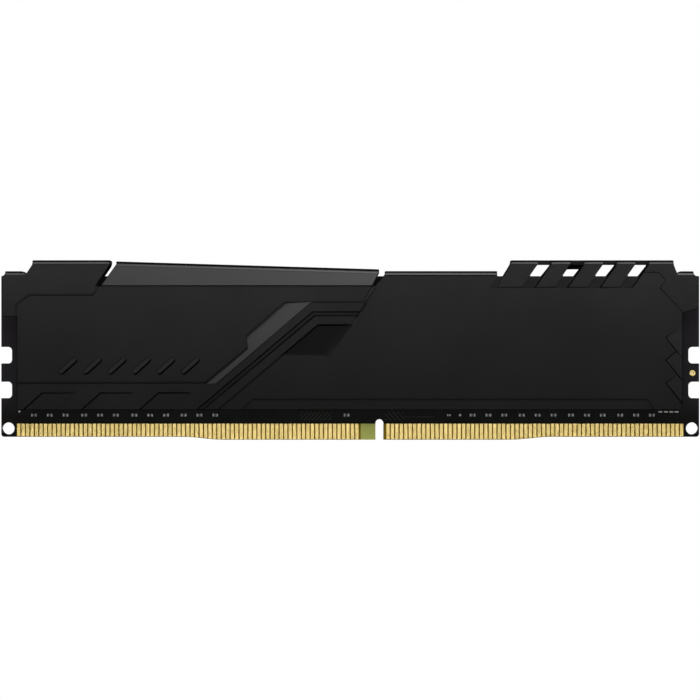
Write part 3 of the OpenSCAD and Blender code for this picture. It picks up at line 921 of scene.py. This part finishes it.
# the material and the width of the edge bevel, by the start of a node's name
FINISHES = {
    "pcb": (board(), 0.04),
    "contacts": (gold(), 0.015),
    "via": (gold(), 0),
    "thermal_pad": (mottled("thermal_pad_silicone", *SILICONE_GREY, 0.75, 5, 0.01), 0.12),
    "dram": (mottled("chip_epoxy", *CHIP_BLACK, 0.55, 12, 0.004), 0.06),
    "spd_eeprom": (mottled("small_chip_epoxy", *CHIP_BLACK, 0.5, 14, 0.004), 0.05),
    "resistor": (mottled("resistor_film", *FILM_BLACK, 0.35, 12, 0.003), 0.04),
    "capacitor": (mottled("capacitor_ceramic", *CERAMIC_TAN, 0.45, 9, 0.004), 0.05),
    "solder": (TIN, 0.05),
}


def finish_for(name):
    material, bevel = next(finish for start, finish in FINISHES.items() if name.startswith(start))
    if "terminals" in name or "leads" in name:
        material = TIN
    if name == "spd_eeprom_leads":
        bevel = 0
    return material, bevel


for obj in (front, rear, tab):
    obj.data.materials.append(PAINT)
    obj.data.materials.append(SHADED_PAINT)
    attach(obj, "root")
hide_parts("heat_spreader_front")
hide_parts("heat_spreader_rear")

board_nodes = {name: obj for name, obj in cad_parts.items() if not name.startswith("heat_spreader")}
for name, obj in board_nodes.items():
    material, bevel = finish_for(name)
    obj.data.materials.clear()
    obj.data.materials.append(material)
    if bevel:
        edges = obj.modifiers.new("edges", "BEVEL")
        edges.width = bevel * MM
        edges.segments = 2
        edges.limit_method = "ANGLE"
        edges.angle_limit = math.radians(40)

# ---- stage, light and camera -----------------------------------------------------------------------


def white_floor():
    """A pale floor that only the camera sees, so that it lights nothing from below."""
    bpy.ops.mesh.primitive_plane_add(size=6, location=(0, 0, -0.0002))
    floor = bpy.context.object
    floor.name = "floor"
    m = Mat("floor_white", (0, 0, 0), 1.0, specular=0.0)
    m.shader.inputs["Emission Color"].default_value = (1, 1, 1, 1)
    m.shader.inputs["Emission Strength"].default_value = 1.0
    floor.data.materials.append(m.mat)
    floor.visible_diffuse = False
    floor.visible_glossy = False
    floor.visible_transmission = False
    floor.visible_shadow = False


def studio_world():
    """White behind the object for the camera, and a dim cool room for everything else."""
    world = bpy.data.worlds.new("studio")
    bpy.context.scene.world = world
    world.use_nodes = True
    nodes, links = world.node_tree.nodes, world.node_tree.links
    nodes.clear()
    path = nodes.new("ShaderNodeLightPath")
    mixed = nodes.new("ShaderNodeMixShader")
    out = nodes.new("ShaderNodeOutputWorld")
    links.new(path.outputs["Is Camera Ray"], mixed.inputs[0])
    for i, (colour, strength) in enumerate((((0.9, 0.95, 1), 0.02), ((1, 1, 1), 1.0))):
        background = nodes.new("ShaderNodeBackground")
        background.inputs["Color"].default_value = (*colour, 1)
        background.inputs["Strength"].default_value = strength
        links.new(background.outputs[0], mixed.inputs[i + 1])
    links.new(mixed.outputs[0], out.inputs["Surface"])


def softbox(name, place, target, size, power, receivers=None):
    light = bpy.data.lights.new(name, "AREA")
    light.shape = "RECTANGLE"
    light.size, light.size_y = size
    light.energy = power
    obj = bpy.data.objects.new(name, light)
    bpy.context.scene.collection.objects.link(obj)
    obj.location = place
    direction = Vector(target) - Vector(place)
    obj.rotation_euler = direction.to_track_quat("-Z", "Y").to_euler()
    obj.visible_camera = False
    if receivers:
        obj.light_linking.receiver_collection = receivers


def collection(name, objects):
    group = bpy.data.collections.new(name)
    for obj in objects:
        group.objects.link(obj)
    return group


MIDDLE_POINT = (0, 0, 0.018)
CONTACTS_POINT = (0, 0, 0.002)


def lights():
    """Soft lights, the same in front and behind; some reach only one sheet, or only the board's parts."""
    board_side = collection("board_side", board_nodes.values())
    for side, where, sheets in ((-1, "front", [front]), (1, "rear", [rear, tab])):
        facing = collection(where + "_side", sheets + list(board_nodes.values()))
        softbox("overhead_" + where, (0, 0.038 * side, 0.078), (0, 0.003 * side, 0.018), (0.34, 0.04), 0.116,
                facing)
        softbox("fill_" + where, (0, 0.9 * side, -0.03), CONTACTS_POINT, (0.5, 0.12), 0.825, board_side)
        softbox("low_fill_" + where, (0, 0.42 * side, -0.62), CONTACTS_POINT, (0.6, 0.3), 0.35, board_side)
        softbox("low_" + where, (0, 0.32 * side, -0.5), MIDDLE_POINT, (0.5, 0.25), 0.09)
        for end, hand in ((-1, "left"), (1, "right")):
            name = "%s_" + hand + "_" + where
            softbox(name % "glint", (0.42 * end, 0.68 * side, -0.4), CONTACTS_POINT, (0.4, 0.4), 0.4,
                    board_side)
            softbox(name % "side", (0.52 * end, 0.44 * side, -0.2), MIDDLE_POINT, (0.4, 0.3), 0.2)
    softbox("top", (0, 0, 0.8), (0, 0, 0), (0.6, 1.0), 0.9)
    for end, hand in ((-1, "left"), (1, "right")):
        softbox("end_" + hand, (0.9 * end, 0, 0.02), MIDDLE_POINT, (0.3, 0.4), 0.6)


def add_camera():
    """A long lens straight in front, a little below mid-height."""
    data = bpy.data.cameras.new("camera")
    data.sensor_width = 36
    data.lens = 188.2
    data.clip_start = 0.01
    data.clip_end = 20
    camera = bpy.data.objects.new("camera", data)
    bpy.context.scene.collection.objects.link(camera)
    camera.location = (-0.00004, -0.7, 0.01714)
    camera.rotation_euler = (math.pi / 2, 0, 0)
    bpy.context.scene.camera = camera


white_floor()
studio_world()
lights()
add_camera()
bpy.context.scene.view_settings.view_transform = "Standard"

bpy.context.view_layer.update()
